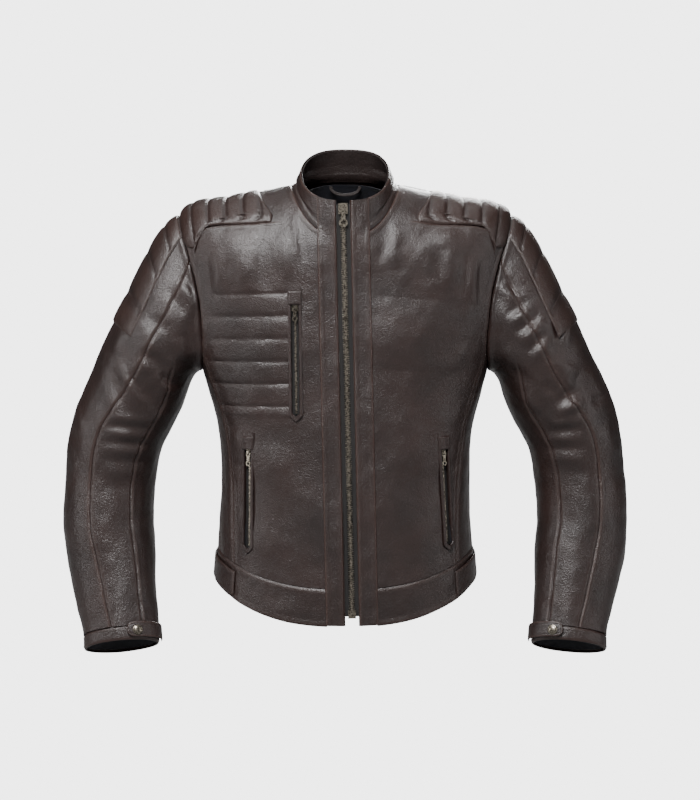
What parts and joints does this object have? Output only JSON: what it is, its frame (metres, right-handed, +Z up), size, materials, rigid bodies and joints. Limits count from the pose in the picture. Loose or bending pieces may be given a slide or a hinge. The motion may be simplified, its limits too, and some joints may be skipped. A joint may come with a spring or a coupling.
{
  "type": "leather riding jacket",
  "caption": "Fitted brown leather riding jacket, zipped up, with quilted shoulders and chest, zipped pockets, stand collar and snap cuff tabs.",
  "frame": {"origin": "centre of the neck opening, level with the neck ends of the shoulder seams", "axes": "+X to the wearer's left, -Y to the front, +Z up; the shape is the worn, upright one"},
  "size_m": [0.8198, 0.2661, 0.7258],
  "materials": {
    "leather": "semi-gloss antique brown",
    "leather_trim": "matt dark brown",
    "lining": "satin",
    "zip_tape": "woven",
    "zip_metal": "antique nickel"
  },
  "bodies": {
    "jacket": {"front_panel_left": "leather", "front_panel_right": "leather", "back_panel": "leather", "side_panel_left": "leather", "side_panel_right": "leather", "shoulder_yoke_left": "leather", "shoulder_yoke_right": "leather", "placket_left": "leather", "placket_right": "leather", "collar": "leather", "waistband_front_left": "leather", "waistband_front_right": "leather", "waistband_back": "leather", "chest_pocket_welt": "leather", "hand_pocket_left_welt": "leather", "hand_pocket_right_welt": "leather", "upper_sleeve_front_left": "leather", "upper_sleeve_outer_left": "leather", "elbow_left": "leather", "sleeve_quilt_left": "leather", "upper_sleeve_front_right": "leather", "upper_sleeve_outer_right": "leather", "elbow_right": "leather", "sleeve_quilt_right": "leather", "collar_lining": "leather_trim", "body_lining": "lining", "sleeve_lining_left": "lining", "sleeve_lining_right": "lining", "chest_pocket_bag": "lining", "hand_pocket_left_bag": "lining", "hand_pocket_right_bag": "lining", "main_zip_tape_left": "zip_tape", "main_zip_tape_right": "zip_tape", "chest_pocket_zip": "zip_tape", "hand_pocket_left_zip": "zip_tape", "hand_pocket_right_zip": "zip_tape", "main_zip_retainer": "zip_metal"},
    "main_slider": {"main_zip_slider": "zip_metal"},
    "main_pull": {"main_zip_pull": "zip_metal"},
    "chest_slider": {"chest_pocket_slider": "zip_metal"},
    "chest_pull": {"chest_pocket_pull": "zip_metal"},
    "hand_left_slider": {"hand_pocket_left_slider": "zip_metal"},
    "hand_left_pull": {"hand_pocket_left_pull": "zip_metal"},
    "hand_right_slider": {"hand_pocket_right_slider": "zip_metal"},
    "hand_right_pull": {"hand_pocket_right_pull": "zip_metal"},
    "strap_left": {"waist_strap_left": "leather_trim"},
    "strap_right": {"waist_strap_right": "leather_trim"},
    "loop": {"hanger_loop": "leather_trim"},
    "forearm_left": {"forearm_front_left": "leather", "forearm_outer_left": "leather", "cuff_left": "leather", "snap_stud_left": "zip_metal"},
    "forearm_right": {"forearm_front_right": "leather", "forearm_outer_right": "leather", "cuff_right": "leather", "snap_stud_right": "zip_metal"},
    "tab_left": {"cuff_tab_left": "leather_trim", "snap_cap_left": "zip_metal"},
    "tab_right": {"cuff_tab_right": "leather_trim", "snap_cap_right": "zip_metal"}
  },
  "joints": [
    {"name": "main_zip_slide", "type": "slide", "parent": "jacket", "child": "main_slider", "axis": [0.0224, -0.0689, -0.9974], "range_m": [0, 0.55]},
    {"name": "main_pull_swing", "type": "hinge", "parent": "main_slider", "child": "main_pull", "pos_m": [-0.00284, -0.09685, -0.02413], "axis": [-0.9997, 0, -0.0224], "range_deg": [0, 150]},
    {"name": "chest_zip_slide", "type": "slide", "parent": "jacket", "child": "chest_slider", "axis": [0.0105, -0.0591, -0.9982], "range_m": [0, 0.13]},
    {"name": "chest_pull_swing", "type": "hinge", "parent": "chest_slider", "child": "chest_pull", "pos_m": [-0.07002, -0.10344, -0.16167], "axis": [-0.9945, 0.1033, -0.0166], "range_deg": [0, 115]},
    {"name": "hand_left_zip_slide", "type": "slide", "parent": "jacket", "child": "hand_left_slider", "axis": [0.0578, -0.0126, -0.9983], "range_m": [0, 0.105]},
    {"name": "hand_left_pull_swing", "type": "hinge", "parent": "hand_left_slider", "child": "hand_left_pull", "pos_m": [0.13933, -0.08884, -0.36687], "axis": [-0.7958, -0.6043, -0.0385], "range_deg": [0, 115]},
    {"name": "hand_right_zip_slide", "type": "slide", "parent": "jacket", "child": "hand_right_slider", "axis": [-0.0077, -0.0527, -0.9986], "range_m": [0, 0.105]},
    {"name": "hand_right_pull_swing", "type": "hinge", "parent": "hand_right_slider", "child": "hand_right_pull", "pos_m": [-0.13638, -0.09083, -0.36698], "axis": [-0.8335, 0.5521, -0.0227], "range_deg": [0, 115]},
    {"name": "elbow_bend_left", "type": "hinge", "parent": "jacket", "child": "forearm_left", "pos_m": [0.342, 0.009, -0.415], "axis": [-1, 0, 0], "range_deg": [-5, 60], "deforming": ["elbow_left", "sleeve_lining_left"]},
    {"name": "elbow_bend_right", "type": "hinge", "parent": "jacket", "child": "forearm_right", "pos_m": [-0.342, 0.009, -0.415], "axis": [-1, 0, 0], "range_deg": [-5, 60], "deforming": ["elbow_right", "sleeve_lining_right"]},
    {"name": "cuff_tab_lift_left", "type": "hinge", "parent": "forearm_left", "child": "tab_left", "pos_m": [0.26507, -0.05803, -0.63542], "axis": [-0.0821, -0.3871, -0.9184], "range_deg": [0, 110]},
    {"name": "cuff_tab_lift_right", "type": "hinge", "parent": "forearm_right", "child": "tab_right", "pos_m": [-0.26507, -0.05803, -0.63542], "axis": [-0.0821, 0.3871, 0.9184], "range_deg": [0, 110]},
    {"name": "waist_strap_swing_left", "type": "hinge", "parent": "jacket", "child": "strap_left", "pos_m": [0.15667, -0.09086, -0.55502], "axis": [0, 0, -1], "range_deg": [0, 35]},
    {"name": "waist_strap_swing_right", "type": "hinge", "parent": "jacket", "child": "strap_right", "pos_m": [-0.15667, -0.09086, -0.55502], "axis": [0, 0, 1], "range_deg": [0, 35]},
    {"name": "hanger_loop_lift", "type": "hinge", "parent": "jacket", "child": "loop", "pos_m": [0, 0.05044, 0.00633], "axis": [-1, 0, 0], "range_deg": [0, 80]}
  ]
}
